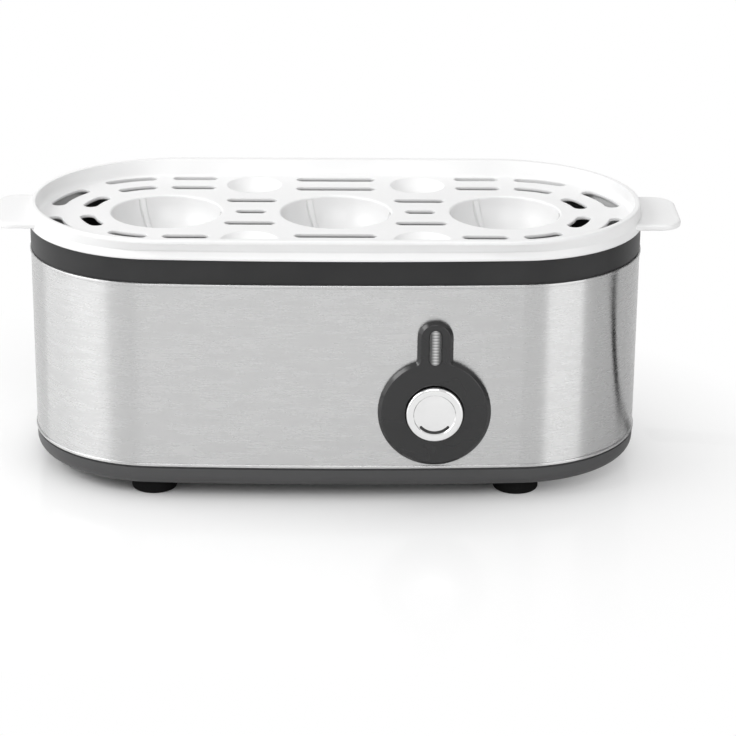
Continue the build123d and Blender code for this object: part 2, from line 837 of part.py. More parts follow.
# Return spring between the carrier's disc and the barrel's back wall
spring_start = disc_back + spring_wire / 2
spring_length = barrel_back - guide_wall - disc_back - spring_wire
with BuildPart() as return_spring:
    with BuildLine() as coil:
        Helix(
            pitch=spring_length / spring_turns,
            height=spring_length,
            radius=spring_radius,
            center=(control_x, spring_start, control_z),
            direction=(0, 1, 0),
        )
    with BuildSketch(Plane(coil.line @ 0, z_dir=coil.line % 0)) as coil_section:
        Circle(spring_wire / 2)
    sweep(coil_section.sketch, path=coil.line, is_frenet=True)
finish(return_spring, "return_spring")

# Bracket behind the bezel: screwed to its bosses and standing on the tub's floor
bracket_y = boss_back
switch_y = bracket_y + bracket_wall
leg_height = control_z - bracket_height / 2 - z_floor
with BuildPart() as switch_bracket:
    with BuildSketch(front_plane(bracket_y)) as face:
        Rectangle(bracket_width, bracket_height)
        with Locations((0, -bracket_height / 2 - leg_height / 2)):
            Rectangle(bracket_leg, leg_height)
        Circle(bracket_hole, mode=Mode.SUBTRACT)
        with GridLocations(boss_pitch, 0, 2, 1):
            Circle(bezel_screw_radius + seat_gap, mode=Mode.SUBTRACT)
    push_back(face, bracket_wall)
    arm_x = switch_width / 2 + seat_gap + bracket_arm_wall / 2
    with BuildSketch(front_plane(switch_y)) as arms:
        with GridLocations(2 * arm_x, 0, 2, 1):
            Rectangle(bracket_arm_wall, switch_height)
    push_back(arms, bracket_arm)
finish(switch_bracket, "switch_bracket")

# Screws through the bracket into the bezel's bosses
with BuildPart() as bezel_screws:
    with BuildSketch(front_plane(switch_y)) as heads:
        with GridLocations(boss_pitch, 0, 2, 1):
            Circle(small_head_radius)
    push_back(heads, small_head_height)
    with BuildSketch(front_plane(bezel_y + 2 * bezel_chamfer + fit_gap)) as shanks:
        with GridLocations(boss_pitch, 0, 2, 1):
            Circle(bezel_screw_radius)
    push_back(shanks, switch_y - bezel_y - 2 * bezel_chamfer - fit_gap)
finish(bezel_screws, "bezel_screws")

# Switch body with the bore of its plunger
with BuildPart() as switch_body:
    with BuildSketch(front_plane(switch_y)) as case:
        Rectangle(switch_width, switch_height)
    push_back(case, switch_depth)
    with BuildSketch(front_plane(switch_y)) as plunger_bore:
        Circle(plunger_radius + slide_gap)
    push_back(plunger_bore, plunger_bore_depth, Mode.SUBTRACT)
finish(switch_body, "switch_body")

# Plunger that the stem pushes into the switch
plunger_y = hook_y + hook_length
with BuildPart() as switch_plunger:
    with BuildSketch(front_plane(plunger_y)) as rod:
        Circle(plunger_radius)
    push_back(rod, switch_y - plunger_y + plunger_reach)
finish(switch_plunger, "switch_plunger")

# Blades at the back of the switch
switch_back = switch_y + switch_depth
with BuildPart() as switch_blades:
    with BuildSketch(front_plane(switch_back)) as blades:
        with GridLocations(switch_blade_pitch, 0, 2, 1):
            Rectangle(blade_wall, switch_blade_height)
    push_back(blades, switch_blade_length)
finish(switch_blades, "switch_blades")

# Terminal block on its pads, with the holes of its screws
block_z = z_floor + block_pad
with BuildPart() as terminal_block:
    with Locations((0, block_y, block_z)):
        Box(block_length, block_width, block_height, align=(Align.CENTER, Align.CENTER, Align.MIN))
    fillet(terminal_block.edges().filter_by(Axis.Z), radius=slide_gap)
    upright(block_screw_points, small_screw_radius + seat_gap, block_z, block_height, Mode.SUBTRACT)
    pole_screw_z = block_z + block_height - pole_screw_height
    upright(pole_points, pole_screw_radius, pole_screw_z, pole_screw_height, Mode.SUBTRACT)
finish(terminal_block, "terminal_block")

# Clamping screws of the block's three poles
with BuildPart() as terminal_screws:
    upright(pole_points, pole_screw_radius - seat_gap, pole_screw_z, pole_screw_height)
finish(terminal_screws, "terminal_screws")

# Screws that hold the block to the tub
with BuildPart() as block_screws:
    block_top = block_z + block_height
    upright(block_screw_points, small_screw_radius, z_floor + seat_gap, block_top - z_floor - seat_gap)
    upright(block_screw_points, small_head_radius, block_top, small_head_height)
finish(block_screws, "block_screws")

# Bush in the cord's inlet at the back, with a barb inside the steel
bush_plane = Plane(origin=(0, half_depth + bush_proud, bush_z), x_dir=(1, 0, 0), z_dir=(0, 1, 0))
with BuildPart() as cord_bush:
    with BuildSketch(bush_plane) as nose:
        Circle(bush_nose)
    extrude(nose.sketch, amount=-bush_proud)
    chamfer(cord_bush.faces().sort_by(Axis.Y)[-1].edges(), length=bush_flange_wall / 2)
    with BuildSketch(bush_plane.offset(-bush_proud)) as bush_collar:
        Circle(bush_flange)
    extrude(bush_collar.sketch, amount=bush_flange_wall)
    with BuildSketch(bush_plane) as neck:
        Circle(bush_neck)
    extrude(neck.sketch, amount=-bush_length)
    with BuildSketch(bush_plane.offset(-bush_proud - band_wall - seat_gap)) as barb:
        Circle(bush_barb)
    extrude(barb.sketch, amount=-bush_barb_wall)
    with BuildSketch(bush_plane) as bore:
        Circle(bush_bore)
    extrude(bore.sketch, amount=-bush_length, mode=Mode.SUBTRACT)
finish(cord_bush, "cord_bush")

# Ends that the wires run to
entry_y = block_y - block_width / 2
entry_z = block_z + entry_height
switch_end_y = switch_back + switch_blade_length
left_blade_x = control_x - switch_blade_pitch / 2
right_blade_x = control_x + switch_blade_pitch / 2
blade_foot = blade_top - blade_length
fuse_right = fuse_x + fuse_length / 2 + fuse_lead_length
fuse_left = fuse_x - fuse_length / 2 - fuse_lead_length
pin_end = pin_start - pin_length
tag_end = -stud_x - tag_tail
tag_mid = tag_z + tag_wall / 2

# Wire from the live pole to the switch
with BuildPart() as live_wire:
    wire(
        [
            (pole_pitch, entry_y, entry_z),
            (pole_pitch, entry_y - 8, entry_z),
            (pole_pitch + 5, entry_y - 16, entry_z + 4),
            (left_blade_x - 4, switch_end_y + 13, control_z - 7),
            (left_blade_x, switch_end_y + 9, control_z),
            (left_blade_x, switch_end_y, control_z),
        ],
        wire_radius,
    )
finish(live_wire, "live_wire")

# Wire from the switch up to the thermostat
with BuildPart() as switched_wire:
    wire(
        [
            (right_blade_x, switch_end_y, control_z),
            (right_blade_x, switch_end_y + 8, control_z),
            (right_blade_x - 4, switch_end_y + 14, control_z + 2),
            (blade_xs[1], 0, blade_foot - 7),
            (blade_xs[1], 0, blade_foot),
        ],
        wire_radius,
    )
finish(switched_wire, "switched_wire")

# Wire from the thermostat to the fuse
with BuildPart() as fused_wire:
    wire(
        [
            (blade_xs[0], 0, blade_foot),
            (blade_xs[0], 0, blade_foot - 6),
            (blade_xs[0] - 7, 4, blade_foot - 7),
            (fuse_right + 5, 4, blade_foot),
            (fuse_right + 7, 1, fuse_z - 5),
            (fuse_right + 6, 0, fuse_z),
            (fuse_right, 0, fuse_z),
        ],
        wire_radius,
    )
finish(fused_wire, "fused_wire")

# Wire from the fuse to the rear leg of the element
with BuildPart() as element_wire:
    wire(
        [
            (fuse_left, 0, fuse_z),
            (fuse_left - 8, 0, fuse_z),
            (fuse_left - 16, 8, fuse_z - 9),
            (tag_end + 1, 14, fuse_z - 13),
            (pin_end - 4, element_leg_y, fuse_z - 14),
            (pin_end - 15, element_leg_y, z_element - 9),
            (pin_end - 13, element_leg_y, z_element),
            (pin_end, element_leg_y, z_element),
        ],
        wire_radius,
    )
finish(element_wire, "element_wire")

# Wire from the neutral pole to the front leg of the element
with BuildPart() as neutral_wire:
    wire(
        [
            (0, entry_y, entry_z),
            (0, entry_y - 14, entry_z),
            (-18, -9, entry_z + 5),
            (-44, -14, entry_z + 17),
            (pin_end + 4, -element_leg_y, z_element - 18),
            (pin_end - 14, -element_leg_y, z_element - 11),
            (pin_end - 13, -element_leg_y, z_element),
            (pin_end, -element_leg_y, z_element),
        ],
        wire_radius,
    )
finish(neutral_wire, "neutral_wire")

# Wire from the earth pole to the tag on the pan's stud
with BuildPart() as earth_wire:
    wire(
        [
            (-pole_pitch, entry_y, entry_z),
            (-pole_pitch, entry_y - 8, entry_z),
            (-20, 7, entry_z + 4),
            (-44, 4, entry_z + 15),
            (tag_end - 5, 1, tag_mid - 15),
            (tag_end - 14, 0, tag_mid - 7),
            (tag_end - 11, 0, tag_mid),
            (tag_end, 0, tag_mid),
        ],
        wire_radius,
    )
finish(earth_wire, "earth_wire")

# Leads of the lamp, to the switched blade and to the neutral pole
lead_y = holder_y + holder_depth
lead_z = window_z - lamp_length / 2 + lamp_radius
blade_lead_y = switch_back + 4
blade_lead_z = control_z + switch_blade_height / 2
pole_lead_z = entry_z + 4
with BuildPart() as lamp_leads:
    wire(
        [
            (control_x + lamp_radius / 2, lead_y, lead_z),
            (control_x + lamp_radius / 2, lead_y + 7, lead_z),
            (right_blade_x - 2, switch_back - 4, lead_z - 4),
            (right_blade_x, blade_lead_y, lead_z - 5),
            (right_blade_x, blade_lead_y, blade_lead_z),
        ],
        lead_radius,
    )
    wire(
        [
            (control_x - lamp_radius / 2, lead_y, lead_z),
            (control_x - lamp_radius / 2, lead_y + 7, lead_z),
            (control_x - 10, switch_back + 2, lead_z - 6),
            (10, -4, control_z - 4),
            (0, entry_y - 11, pole_lead_z),
            (0, entry_y, pole_lead_z),
        ],
        lead_radius,
    )
finish(lamp_leads, "lamp_leads")

# Wall of a cup, from its lip down to its open throat, as radius and height below the deck
cup_top = (cup_mouth, -cup_lip)
cup_foot = (cup_throat, -cup_depth)
wall_run = Vector(cup_foot[0] - cup_top[0], cup_foot[1] - cup_top[1])
wall_out = Vector(-wall_run.Y, wall_run.X).normalized()
wall_mid = (Vector(*cup_top) + Vector(*cup_foot)) * 0.5 + wall_out * cup_bulge


def shifted(point, distance):
    """A point of the cup's wall moved out from the cup's axis by `distance`."""
    moved = Vector(*point) + wall_out * distance
    return (moved.X, moved.Y)


def cup_plane(x, angle=0.0):
    """Section plane of the cup at `x`, turned about the cup's axis."""
    turn = radians(angle)
    return Plane(
        origin=(x, 0, z_deck), x_dir=(cos(turn), sin(turn), 0), z_dir=(sin(turn), -cos(turn), 0)
    )


def cup_body(x):
    """Add the funnel under the deck, still filled."""
    with BuildSketch(cup_plane(x)) as half:
        with BuildLine():
            top_out = shifted(cup_top, cup_wall)
            foot_out = (shifted(cup_foot, cup_wall)[0], -cup_depth)
            neck = -deck_wall / 2
            Polyline(foot_out, (0, -cup_depth), (0, neck), (top_out[0], neck), top_out)
            ThreePointArc(top_out, shifted((wall_mid.X, wall_mid.Y), cup_wall), foot_out)
        make_face()
    revolve(half.sketch, axis=Axis((x, 0, 0), (0, 0, 1)))


def cup_hollow(x):
    """Cut the funnel open from its rounded lip down through its throat."""
    lip_centre = (cup_mouth + cup_lip, -cup_lip)
    lip_mid = (
        lip_centre[0] - cup_lip * cos(radians(45)),
        lip_centre[1] + cup_lip * sin(radians(45)),
    )
    with BuildSketch(cup_plane(x)) as half:
        with BuildLine():
            below = -cup_depth - 1
            Polyline(cup_foot, (cup_throat, below), (0, below), (0, 0), (lip_centre[0], 0))
            ThreePointArc((lip_centre[0], 0), lip_mid, cup_top)
            ThreePointArc(cup_top, (wall_mid.X, wall_mid.Y), cup_foot)
        make_face()
    revolve(half.sketch, axis=Axis((x, 0, 0), (0, 0, 1)), mode=Mode.SUBTRACT)


def cup_rib(x, angle):
    """Add one narrow rib that stands in from the cup's wall and carries the egg."""
    root = cup_wall / 2
    with BuildSketch(cup_plane(x, angle)) as side:
        with BuildLine():
            top_in = shifted(cup_top, -rib_rise / 2)
            foot_in = shifted(cup_foot, -rib_rise)
            foot_in = (foot_in[0], -cup_depth)
            foot_root = (shifted(cup_foot, root)[0], -cup_depth)
            Line(shifted(cup_top, root), top_in)
            ThreePointArc(top_in, shifted((wall_mid.X, wall_mid.Y), -rib_rise), foot_in)
            Line(foot_in, foot_root)
            ThreePointArc(foot_root, shifted((wall_mid.X, wall_mid.Y), root), shifted(cup_top, root))
        make_face()
    revolve(side.sketch, axis=Axis((x, 0, 0), (0, 0, 1)), revolution_arc=rib_angle)


def arc_slots(radius, angles, width):
    """Slots on a ring about each end centre, mirrored to all four quarters."""
    for end in (-1, 1):
        for side in (-1, 1):
            start, stop = angles
            if end < 0:
                start, stop = 180 - stop, 180 - start
            if side < 0:
                start, stop = -stop, -start
            ring = Plane((end * end_centre_x, 0, 0))
            SlotArc(Edge.make_circle(radius, ring, start, stop), width)


def straight_slots(row_y):
    """Slots along both long sides: one in the middle and one at each end, set a little out."""
    for side in (-1, 1):
        with Locations((0, side * row_y)):
            SlotOverall(middle_slot, slot_width)
        corner_y = side * (row_y + corner_step)
        with Locations((-corner_slot_x, corner_y), (corner_slot_x, corner_y)):
            SlotOverall(corner_slot, slot_width)


# Egg tray: lip and rim round a slotted deck with three ribbed cups
with BuildPart() as egg_tray:
    z_slope = z_seat + lip_height
    z_foot = z_slope + lip_slope
    extrude(lip_outline(z_seat), amount=lip_height)
    loft([lip_outline(z_slope), outline(z_foot)], ruled=True)
    loft([outline(z_foot), rim_outline(z_rim - rim_edge)], ruled=True)
    extrude(rim_outline(z_rim - rim_edge), amount=rim_edge)
    fillet(egg_tray.faces().sort_by(Axis.Z)[-1].edges(), radius=rim_round)
    inside = -rim_foot_wall
    rim_mouth = racetrack(
        z_rim, rim_length - 2 * rim_end_wall, rim_end_radius - rim_side_wall, rim_bow
    )
    with BuildPart(mode=Mode.SUBTRACT) as rim_hollow:
        loft([outline(z_deck, inside), rim_mouth], ruled=True)
        fillet(rim_hollow.faces().sort_by(Axis.Z)[0].edges(), radius=deck_corner)
    extrude(outline(z_seat, inside), amount=deck_rise - deck_wall, mode=Mode.SUBTRACT)
    skirt_inset = collar_wall + slide_gap
    wall(z_seat - tray_skirt_drop, tray_skirt_drop + deck_rise - deck_wall / 2,
         -skirt_inset, -skirt_inset - tray_skirt_wall)
    for x in cup_xs:
        cup_body(x)
    dimple_points = [(i * dimple_x, j * dimple_y) for i in (-1, 1) for j in (-1, 1)]
    upright(dimple_points, dimple_radius + dimple_rim, z_deck - dimple_depth - deck_wall,
            dimple_depth + deck_wall / 2)
    dimple_sphere = (dimple_radius**2 + dimple_depth**2) / (2 * dimple_depth)
    with Locations(*[(x, y, z_deck - dimple_depth + dimple_sphere) for x, y in dimple_points]):
        Sphere(dimple_sphere, mode=Mode.SUBTRACT)
    for x in cup_xs:
        cup_hollow(x)
        for number in range(rib_count):
            cup_rib(x, 120 + number * 360 / rib_count - rib_angle / 2)
    with BuildSketch(Plane.XY.offset(z_deck)) as slots:
        arc_slots(outer_end_ring, outer_end_slot, end_slot_width)
        arc_slots(outer_side_ring, outer_side_slot, slot_width)
        arc_slots(inner_end_ring, inner_end_slot, end_slot_width)
        arc_slots(inner_side_ring, inner_side_slot, slot_width)
        straight_slots(outer_row_y)
        straight_slots(inner_row_y)
        for x in (-cup_pitch / 2, cup_pitch / 2):
            with Locations((x, -gap_slot_y), (x, gap_slot_y)):
                SlotOverall(gap_slot_long, slot_width)
            with Locations((x, 0)):
                SlotOverall(gap_slot_short, slot_width)
    extrude(slots.sketch, amount=-deck_wall - dimple_depth, mode=Mode.SUBTRACT)

# Tab handles that stand out at both ends of the tray's rim
with BuildPart() as handles:
    handle_length = handle_reach + end_radius / 2
    handle_x = body_length / 2 + handle_reach - handle_length / 2
    with BuildSketch(Plane.XY.offset(z_deck + handle_rise)) as tabs:
        with Locations((-handle_x, 0), (handle_x, 0)):
            RectangleRounded(handle_length, 2 * handle_half_width, handle_corner)
        add(outline(0, -rim_foot_wall / 2), mode=Mode.SUBTRACT)
    extrude(tabs.sketch, amount=-handle_wall)
    fillet(handles.faces().group_by(Axis.Z)[-1].edges(), radius=handle_round)
    fillet(handles.faces().group_by(Axis.Z)[0].edges(), radius=handle_round / 2)

with egg_tray:
    add(handles.part)
finish(egg_tray, "egg_tray")
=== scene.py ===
"""Studio scene of the electric egg cooker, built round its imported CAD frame.

Lengths are in metres and angles in degrees, unless a name or a comment says otherwise.
"""

import json
from math import cos, pi, radians, sin

import bpy
from mathutils import Matrix, Vector


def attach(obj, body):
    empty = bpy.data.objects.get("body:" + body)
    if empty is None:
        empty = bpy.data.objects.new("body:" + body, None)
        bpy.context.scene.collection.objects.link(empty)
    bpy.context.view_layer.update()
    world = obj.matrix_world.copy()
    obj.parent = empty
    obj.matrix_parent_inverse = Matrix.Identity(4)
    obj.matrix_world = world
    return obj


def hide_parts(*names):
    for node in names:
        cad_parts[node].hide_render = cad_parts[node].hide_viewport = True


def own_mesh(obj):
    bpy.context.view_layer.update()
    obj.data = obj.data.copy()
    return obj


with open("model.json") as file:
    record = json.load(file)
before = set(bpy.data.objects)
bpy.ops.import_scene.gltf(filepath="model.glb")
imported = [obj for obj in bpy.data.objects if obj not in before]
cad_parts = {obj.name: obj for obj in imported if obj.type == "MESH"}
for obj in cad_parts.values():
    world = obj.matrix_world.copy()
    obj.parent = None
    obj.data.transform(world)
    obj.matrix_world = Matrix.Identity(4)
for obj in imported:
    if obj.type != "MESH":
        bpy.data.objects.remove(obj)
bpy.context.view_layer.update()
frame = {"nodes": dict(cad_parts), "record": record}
nodes = frame["nodes"]
scene = bpy.context.scene


# Camera, from the fit to the photograph's outlines; lens in millimetres, angles in radians

focal_length = 130.54
sensor_width = 36
nearest_seen = 0.05
camera_pitch = 0.3582
camera_yaw = 0.0137
camera_roll = 0.0079
camera_distance = 0.9391
aim_right = 0.011468
aim_height = 0.030917


def make_camera():
    """A long lens that looks down on the control side, a little rolled."""
    turn = Matrix.Rotation(-camera_yaw, 3, "Z")
    back = turn @ Vector((0, -cos(camera_pitch), sin(camera_pitch)))
    right = turn @ Vector((1, 0, 0))
    up = turn @ Vector((0, sin(camera_pitch), cos(camera_pitch)))
    image_right = right * cos(camera_roll) + up * sin(camera_roll)
    image_up = up * cos(camera_roll) - right * sin(camera_roll)
    place = turn @ Vector((aim_right, 0, aim_height)) + back * camera_distance
    data = bpy.data.cameras.new("camera")
    data.lens = focal_length
    data.sensor_width = sensor_width
    data.clip_start = nearest_seen
    camera = bpy.data.objects.new("camera", data)
    axes = Matrix((image_right, image_up, back)).transposed().to_4x4()
    camera.matrix_world = Matrix.Translation(place) @ axes
    scene.collection.objects.link(camera)
    scene.camera = camera


# Node and mesh helpers

millimetres = 1000
bevel_samples = 8


class Nodes:
    """A node tree with short calls to add and join nodes."""

    def __init__(self, tree):
        self.tree = tree

    def node(self, kind, **inputs):
        """Add a node; each keyword is an input's name with underscores for spaces."""
        made = self.tree.nodes.new(kind)
        for key, value in inputs.items():
            made.inputs[key.replace("_", " ")].default_value = value
        return made

    def join(self, source, target):
        """Link an output to an input."""
        self.tree.links.new(source, target)

    def combine(self, kind, operation, *operands):
        """Add a math node of a kind; each operand is an output or a plain value."""
        made = self.node(kind)
        made.operation = operation
        for socket, operand in zip(made.inputs, operands):
            if isinstance(operand, bpy.types.NodeSocket):
                self.join(operand, socket)
            else:
                socket.default_value = operand
        return made.outputs

    def math(self, operation, *operands):
        """Work out one number from others."""
        return self.combine("ShaderNodeMath", operation, *operands)["Value"]

    def mix_surfaces(self, factor, first, second):
        """Blend from the first surface to the second."""
        made = self.node("ShaderNodeMixShader")
        self.join(factor, made.inputs["Fac"])
        self.join(first, made.inputs[1])
        self.join(second, made.inputs[2])
        return made.outputs["Shader"]


class Shader(Nodes):
    """A material with its Principled shader."""

    def __init__(self, name):
        self.material = bpy.data.materials.new(name)
        self.material.use_nodes = True
        super().__init__(self.material.node_tree)
        self.principled = self.tree.nodes["Principled BSDF"]
        self.output = self.tree.nodes["Material Output"]

    def set(self, **inputs):
        """Set the shader's own sockets."""
        for key, value in inputs.items():
            self.principled.inputs[key.replace("_", " ")].default_value = value

    def position(self, scale=(1, 1, 1)):
        """Object coordinates in millimetres, stretched by a scale."""
        coordinates = self.node("ShaderNodeTexCoord")
        mapping = self.node("ShaderNodeMapping", Scale=[millimetres * s for s in scale])
        self.join(coordinates.outputs["Object"], mapping.inputs["Vector"])
        return mapping.outputs["Vector"]

    def along(self, vector, axis):
        """A vector's share along one axis."""
        made = self.node("ShaderNodeSeparateXYZ")
        self.join(vector, made.inputs["Vector"])
        return made.outputs[axis]

    def noise(self, vector, scale, detail=3.0, roughness=0.5):
        """Soft random spots, mostly between 0.3 and 0.7."""
        made = self.node("ShaderNodeTexNoise", Scale=scale, Detail=detail, Roughness=roughness)
        self.join(vector, made.inputs["Vector"])
        return made.outputs["Fac"]

    def level_ribs(self, vector, **inputs):
        """Even waves up the object's height."""
        made = self.node("ShaderNodeTexWave", **inputs)
        made.bands_direction = "Z"
        self.join(vector, made.inputs["Vector"])
        return made.outputs["Fac"]

    def between(self, factor, low, high, start=0.3, stop=0.7):
        """Map a factor from start..stop to low..high."""
        made = self.node(
            "ShaderNodeMapRange", From_Min=start, From_Max=stop, To_Min=low, To_Max=high
        )
        self.join(factor, made.inputs["Value"])
        return made.outputs["Result"]

    def paint(self, factor, first, second):
        """Let the base colour drift from the first colour to the second."""
        made = self.node("ShaderNodeMix")
        made.data_type = "RGBA"
        made.inputs["A"].default_value = (*first, 1)
        made.inputs["B"].default_value = (*second, 1)
        self.join(factor, made.inputs["Factor"])
        self.join(made.outputs["Result"], self.principled.inputs["Base Color"])

    def roughen(self, factor, low, high, start=0.3, stop=0.7):
        """Let the roughness drift from low to high."""
        rough = self.between(factor, low, high, start, stop)
        self.join(rough, self.principled.inputs["Roughness"])

    def bump(self, height, distance, edge=0.0):
        """Raise the surface by a factor; an edge radius also softens the corners."""
        made = self.node("ShaderNodeBump", Strength=1.0, Distance=distance)
        self.join(height, made.inputs["Height"])
        if edge:
            corner = self.node("ShaderNodeBevel", Radius=edge)
            corner.samples = bevel_samples
            self.join(corner.outputs["Normal"], made.inputs["Normal"])
        self.join(made.outputs["Normal"], self.principled.inputs["Normal"])


def add_piece(name, corners, faces, material):
    """Add a mesh piece in one material."""
    mesh = bpy.data.meshes.new(name)
    mesh.from_pydata(corners, [], faces)
    mesh.materials.append(material)
    piece = bpy.data.objects.new(name, mesh)
    scene.collection.objects.link(piece)
    return piece


def strip_faces(rows):
    """The faces of a strip that has two corners in each row."""
    return [(2 * i, 2 * i + 1, 2 * i + 3, 2 * i + 2) for i in range(rows - 1)]


def round_object(azimuth, distance):
    """A place on the floor plan; azimuth 0 is before the controls, positive to the right."""
    turn = radians(azimuth)
    return distance * sin(turn), -distance * cos(turn)


# Materials: colours are linear, noise scales and pitches are per or in millimetres

lamp_middle_x = 33.2

# slot: colour, its drift, roughness, grain scale, grain depth
moulded_slots = {
    "black_coating": ((0.008, 0.008, 0.008), 0.06, 0.5, 4.0, 0.000008),
    "red_silicone": ((0.42, 0.05, 0.03), 0.05, 0.5, 2.0, 0.00001),
    "white_ceramic": ((0.78, 0.76, 0.70), 0.02, 0.55, 3.0, 0.00001),
    "black_nylon": ((0.022, 0.022, 0.022), 0.06, 0.5, 3.0, 0.00001),
    "white_nylon": ((0.76, 0.76, 0.72), 0.02, 0.45, 2.0, 0.00001),
    "brown_sleeve": ((0.10, 0.045, 0.02), 0.05, 0.45, 2.0, 0.00001),
    "white_sleeve": ((0.72, 0.72, 0.69), 0.03, 0.5, 2.0, 0.00001),
    "blue_sleeve": ((0.03, 0.09, 0.33), 0.05, 0.45, 2.0, 0.00001),
    "green_yellow_sleeve": ((0.16, 0.42, 0.05), 0.05, 0.45, 2.0, 0.00001),
}

# slot: colour, roughness, the grain's scale along x, y and z
metal_slots = {
    "zinc_steel": ((0.60, 0.60, 0.58), 0.32, (1.2, 1.2, 1.2)),
    "aluminium": ((0.78, 0.79, 0.80), 0.4, (0.3, 3.0, 3.0)),
    "element_steel": ((0.36, 0.34, 0.31), 0.42, (0.6, 2.0, 2.0)),
    "tinned_brass": ((0.70, 0.60, 0.36), 0.3, (1.5, 1.5, 1.5)),
    "fuse_metal": ((0.7, 0.7, 0.68), 0.35, (1.0, 2.0, 2.0)),
    "spring_steel": ((0.5, 0.5, 0.5), 0.25, (2.0, 2.0, 2.0)),
    "plated_steel": ((0.6, 0.6, 0.57), 0.34, (0.4, 2.5, 2.5)),
}


def moulded(name, color, spread, roughness, grain_scale, grain_depth, edge=0.0):
    """Moulded plastic or rubber: slight colour drift, fine grain in gloss and surface."""
    smoother, rougher = 0.88, 1.12
    shader = Shader(name)
    place = shader.position()
    drift = shader.between(shader.noise(place, 0.05, 2.0), 0, 1)
    shader.paint(drift, [c * (1 - spread) for c in color], [c * (1 + spread) for c in color])
    grain = shader.noise(place, grain_scale, 4.0, 0.6)
    shader.roughen(grain, roughness * smoother, roughness * rougher)
    shader.bump(grain, grain_depth, edge)
    return shader


def drawn_metal(name, color, roughness, grain):
    """Plain sheet or rod metal with a fine drawn grain along chosen axes."""
    darker, lighter = 0.92, 1.06
    smoother, rougher = 0.8, 1.25
    grain_depth = 0.00001
    shader = Shader(name)
    shader.set(Metallic=1.0)
    lines = shader.noise(shader.position(grain), 1.0, 5.0, 0.6)
    dark, light = [c * darker for c in color], [min(1, c * lighter) for c in color]
    shader.paint(shader.between(lines, 0, 1), dark, light)
    shader.roughen(lines, roughness * smoother, roughness * rougher)
    shader.bump(lines, grain_depth)
    return shader


def white_tray():
    """The tray's glossy white moulding, with softened corners."""
    shader = moulded("white_gloss", (0.81, 0.81, 0.81), 0.012, 0.32, 1.6, 0.000004, 0.0008)
    shader.set(IOR=1.5)
    return shader


def dark_plastic():
    """Dark moulding, its colour ramped by height: painted shade makes the collar darker than
    the tub below.
    """
    tub_level, collar_level = 12.0, 78.0
    unshaded_tub_color, shaded_collar_color = (0.066, 0.066, 0.067), (0.018, 0.018, 0.0185)
    shader = Shader("dark_matte")
    shader.set(IOR=1.44, Specular_IOR_Level=0.36)
    place = shader.position()
    # Painted shade: the colour darkens from the tub's height up to the collar's.
    painted_shade_rise = shader.between(shader.along(place, "Z"), 0.0, 0.9, tub_level, collar_level)
    drift = shader.between(shader.noise(place, 0.05, 2.0), -0.05, 0.1)
    shader.paint(shader.math("ADD", painted_shade_rise, drift), unshaded_tub_color, shaded_collar_color)
    grain = shader.noise(place, 3.2, 4.0, 0.6)
    shader.roughen(grain, 0.38, 0.47)
    shader.bump(grain, 0.000008)
    return shader


def satin_bezel():
    """The bezel's smoother dark moulding, whose bevel catches the light."""
    shader = moulded("dark_satin", (0.014, 0.014, 0.0145), 0.06, 0.17, 3.2, 0.000004, 0.0005)
    shader.set(IOR=1.5)
    return shader


def brushed_band():
    """Steel brushed along its length: long fine lines over a soft mottle."""
    quarter_turn = 0.25
    shader = Shader("brushed_band")
    shader.set(Metallic=1.0, Anisotropic=1.0, Anisotropic_Rotation=quarter_turn)
    lines = shader.noise(shader.position((0.09, 0.09, 1.7)), 1.0, 3.0, 0.55)
    mottle = shader.noise(shader.position((0.10, 0.10, 0.35)), 1.0, 4.0, 0.6)
    grain = shader.math(
        "ADD", shader.between(lines, 0.0, 0.5, 0.25, 0.75), shader.between(mottle, 0.0, 0.5)
    )
    shader.paint(grain, (0.53, 0.53, 0.53), (0.588, 0.588, 0.588))
    shader.roughen(grain, 0.24, 0.3, 0.0, 1.0)
    shader.bump(grain, 0.0000005)
    return shader


def neon_glass():
    """Clear envelope of the power lamp, slightly milky, with level ribs."""
    rib_pitch = 9.0
    shader = Shader("neon_glass")
    shader.set(IOR=1.49, Transmission_Weight=0.8)
    place = shader.position()
    haze = shader.noise(place, 0.8, 3.0)
    shader.roughen(haze, 0.06, 0.14)
    shader.paint(haze, (0.84, 0.85, 0.85), (0.92, 0.92, 0.92))
    shader.bump(shader.level_ribs(place, Scale=1 / rib_pitch), 0.00008)
    return shader


def lens_with_painted_highlight():
    """Clear cap over the power lamp; its base colour is painted light: a bright ribbed band of
    painted highlight down the middle, between sides painted dark.
    """
    # Distances in mm from the lamp's middle: within the first the painted highlight is full,
    # beyond the second the sides are painted dark.
    painted_highlight_core, painted_highlight_edge = 0.25, 1.45
    shader = Shader("clear_lens")
    shader.set(IOR=1.49, Transmission_Weight=0.45, Roughness=0.12)
    place = shader.position()
    offset = shader.math("SUBTRACT", shader.along(place, "X"), lamp_middle_x)
    across = shader.math("ABSOLUTE", offset)
    painted_highlight = shader.between(across, 1.0, 0.0, painted_highlight_core, painted_highlight_edge)
    ribs = shader.level_ribs(place, Scale=0.3, Distortion=0.4, Detail=2.0)
    level = shader.math("MULTIPLY", painted_highlight, shader.between(ribs, 0.5, 1.0, 0.2, 0.8))
    # Painted light: near white where the highlight is painted, dark grey where the sides are
    # painted in shade.
    shader.paint(level, (0.10, 0.10, 0.10), (0.92, 0.92, 0.92))
    shader.bump(ribs, 0.00008)
    return shader


def black_rubber():
    """The feet's dull rubber."""
    shader = moulded("black_rubber", (0.004, 0.004, 0.004), 0.08, 0.75, 2.4, 0.00002)
    shader.set(Specular_IOR_Level=0.12)
    return shader


def chrome():
    """The button's bright plating with a trace of wear."""
    shader = Shader("chrome")
    shader.set(Metallic=1.0)
    wear = shader.noise(shader.position(), 0.6, 4.0, 0.6)
    shader.paint(wear, (0.78, 0.78, 0.78), (0.84, 0.84, 0.84))
    shader.roughen(wear, 0.05, 0.12)
    shader.bump(wear, 0.000002)
    return shader


